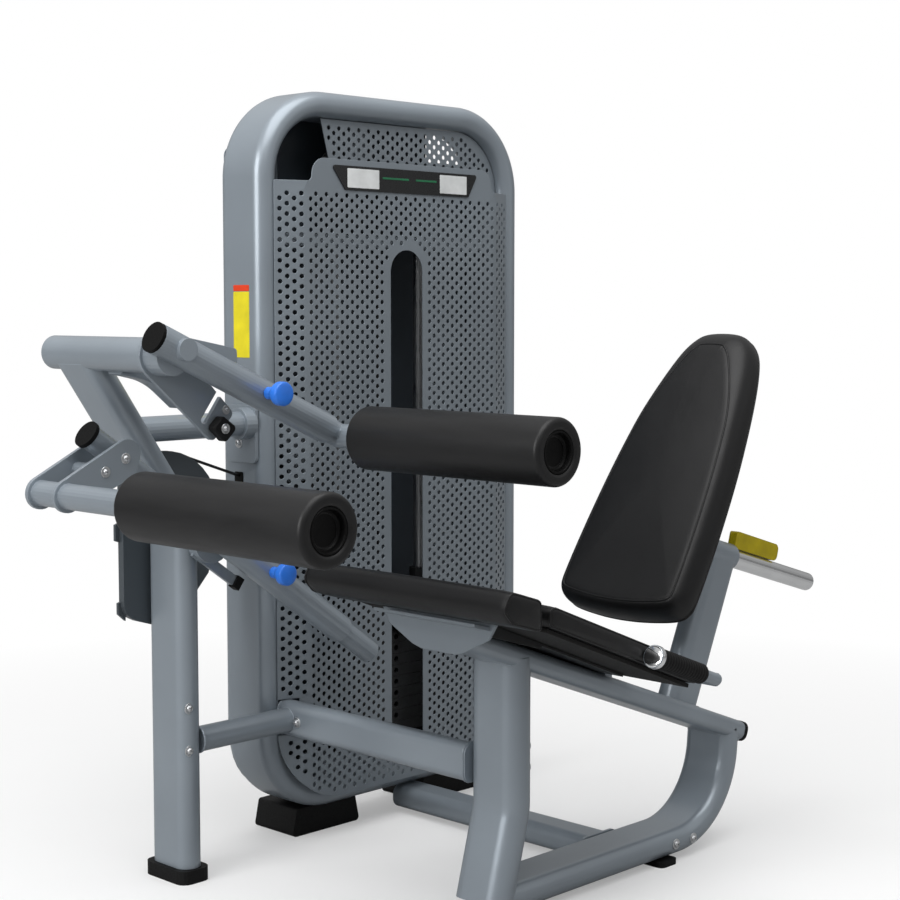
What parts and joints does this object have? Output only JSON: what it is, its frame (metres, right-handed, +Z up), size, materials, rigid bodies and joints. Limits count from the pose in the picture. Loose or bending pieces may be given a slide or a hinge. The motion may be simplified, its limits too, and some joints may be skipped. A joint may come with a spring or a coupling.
{
  "type": "leg extension machine",
  "caption": "Seated selectorised leg machine: guarded weight stack beside a sloping seat, pivoting ankle-roller lever with cam, thigh roller arm, sliding back pad.",
  "frame": {"origin": "on the floor, at the middle of the whole machine's length and width", "axes": "+X from the ankle roller towards the back pad, +Y from the seat towards the weight tower, +Z up"},
  "size_m": [1.6303, 0.9999, 1.495],
  "materials": {
    "frame_paint": "blue-grey metallic powder coat, satin",
    "shroud_paint": "blue-grey metallic powder coat on perforated sheet, satin",
    "bracket_paint": "blue-grey powder coat, satin",
    "dark_paint": "dark slate powder coat, satin",
    "stack_iron": "black paint, matt",
    "chrome": "polished",
    "rubber": "moulded, matt",
    "foam": "closed-cell foam, matt skin",
    "vinyl": "black upholstery vinyl, fine grain",
    "black_plastic": "moulded, satin",
    "blue_plastic": "moulded, satin gloss",
    "yellow_paint": "powder coat, satin",
    "sign_black": "blank plate, satin",
    "nylon": "moulded nylon, satin",
    "cable_coat": "nylon-coated steel cable, satin"
  },
  "bodies": {
    "frame": {"tower_hoop": "frame_paint", "rod_top_bar": "frame_paint", "rod_base_bar": "frame_paint", "left_upright": "frame_paint", "upper_tie": "frame_paint", "cross_tie": "frame_paint", "base_beam": "frame_paint", "seat_frame": "frame_paint", "handlebar": "frame_paint", "back_upright": "frame_paint", "front_shroud": "shroud_paint", "top_panel": "shroud_paint", "seat_pan": "bracket_paint", "top_pulley_hanger": "bracket_paint", "entry_pulley_yoke": "bracket_paint", "rear_shroud": "dark_paint", "weight_plates_lower": "stack_iron", "guide_rod_front": "chrome", "guide_rod_rear": "chrome", "tower_foot_front": "rubber", "tower_foot_rear": "rubber", "post_foot": "rubber", "seat_foot_front": "rubber", "seat_foot_rear": "rubber", "stack_bumper_front": "rubber", "stack_bumper_rear": "rubber", "grip_near": "rubber", "grip_far": "rubber", "seat_front_pad": "vinyl", "seat_rear_pad": "vinyl", "rail_end_cap": "black_plastic", "placard": "sign_black", "cable_rise": "cable_coat", "cable_drop": "cable_coat"},
    "curl_lever": {"lever_sleeve": "frame_paint", "lever_shaft": "chrome", "cam": "dark_paint", "lever_bumper": "rubber"},
    "ankle_slide": {"ankle_carriage": "frame_paint", "lever_cap": "black_plastic"},
    "ankle_roll": {"ankle_roller": "foam"},
    "lever_pin": {"lever_knob": "blue_plastic"},
    "stack": {"head_plate": "stack_iron", "selector_stem": "chrome", "weight_plate_1": "stack_iron", "weight_plate_2": "stack_iron"},
    "pin": {"selector_pin": "black_plastic"},
    "entry_wheel": {"entry_pulley": "nylon"},
    "top_wheel": {"top_pulley": "nylon"},
    "cam_cable": {"cable_run": "cable_coat"},
    "arm": {"thigh_arm": "frame_paint", "thigh_arm_cap": "black_plastic", "thigh_arm_shaft": "chrome", "thigh_arm_bumper": "rubber"},
    "thigh_slide": {"thigh_carriage": "frame_paint"},
    "thigh_roll": {"thigh_roller": "foam"},
    "arm_pin": {"thigh_knob": "blue_plastic"},
    "back": {"back_slide": "chrome", "back_pad": "vinyl"},
    "back_lever": {"back_release_lever": "yellow_paint"}
  },
  "joints": [
    {"name": "lever_swing", "type": "hinge", "parent": "frame", "child": "curl_lever", "pos_m": [-0.4041, 0.345, 0.642], "axis": [0, 1, 0], "range_deg": [-100, 0]},
    {"name": "ankle_adjust", "type": "slide", "parent": "curl_lever", "child": "ankle_slide", "axis": [-0.8141, 0, 0.5807], "range_m": [-0.1, 0.08]},
    {"name": "ankle_roller_spin", "type": "hinge", "parent": "ankle_slide", "child": "ankle_roll", "pos_m": [-0.7591, -0.215, 0.756], "axis": [0, 1, 0], "continuous": true},
    {"name": "lever_knob_pull", "type": "slide", "parent": "curl_lever", "child": "lever_pin", "axis": [0, -1, 0], "range_m": [0, 0.01]},
    {"name": "stack_lift", "type": "slide", "parent": "frame", "child": "stack", "axis": [0, 0, 1], "range_m": [0, 0.237], "deforming": ["cable_drop"]},
    {"name": "selector_pin_pull", "type": "slide", "parent": "stack", "child": "pin", "axis": [0, -1, 0], "range_m": [0, 0.075]},
    {"name": "entry_pulley_spin", "type": "hinge", "parent": "frame", "child": "entry_wheel", "pos_m": [-0.0631, 0.419, 0.7369], "axis": [0, 1, 0], "range_deg": [0, 272]},
    {"name": "top_pulley_spin", "type": "hinge", "parent": "frame", "child": "top_wheel", "pos_m": [0.0674, 0.419, 1.318], "axis": [0, 1, 0], "range_deg": [-170, 0]},
    {"name": "cam_cable_swing", "type": "hinge", "parent": "frame", "child": "cam_cable", "pos_m": [-0.07938, 0.419, 0.68964], "axis": [0, 1, 0], "range_deg": [-9, 0]},
    {"name": "thigh_arm_swing", "type": "hinge", "parent": "frame", "child": "arm", "pos_m": [-0.6321, 0.285, 0.99], "axis": [0, 1, 0], "range_deg": [-75, 8]},
    {"name": "thigh_adjust", "type": "slide", "parent": "arm", "child": "thigh_slide", "axis": [0.9121, 0, -0.4099], "range_m": [-0.008, 0.08]},
    {"name": "thigh_roller_spin", "type": "hinge", "parent": "thigh_slide", "child": "thigh_roll", "pos_m": [-0.26269, -0.215, 0.83798], "axis": [0, 1, 0], "continuous": true},
    {"name": "thigh_knob_pull", "type": "slide", "parent": "arm", "child": "arm_pin", "axis": [0, -1, 0], "range_m": [0, 0.01]},
    {"name": "back_adjust", "type": "slide", "parent": "frame", "child": "back", "axis": [0.9608, 0, -0.2773], "range_m": [-0.15, 0.05]},
    {"name": "back_release", "type": "hinge", "parent": "frame", "child": "back_lever", "pos_m": [0.53329, -0.215, 0.58382], "axis": [0, 1, 0], "range_deg": [-12, 0]}
  ],
  "couplings": [
    {"joint": "stack_lift", "follows": "lever_swing", "m_per_rad": -0.12862},
    {"joint": "entry_pulley_spin", "follows": "lever_swing", "ratio": -2.5723},
    {"joint": "top_pulley_spin", "follows": "lever_swing", "ratio": 1.5977},
    {"joint": "cam_cable_swing", "follows": "lever_swing", "ratio": 0.0829}
  ]
}
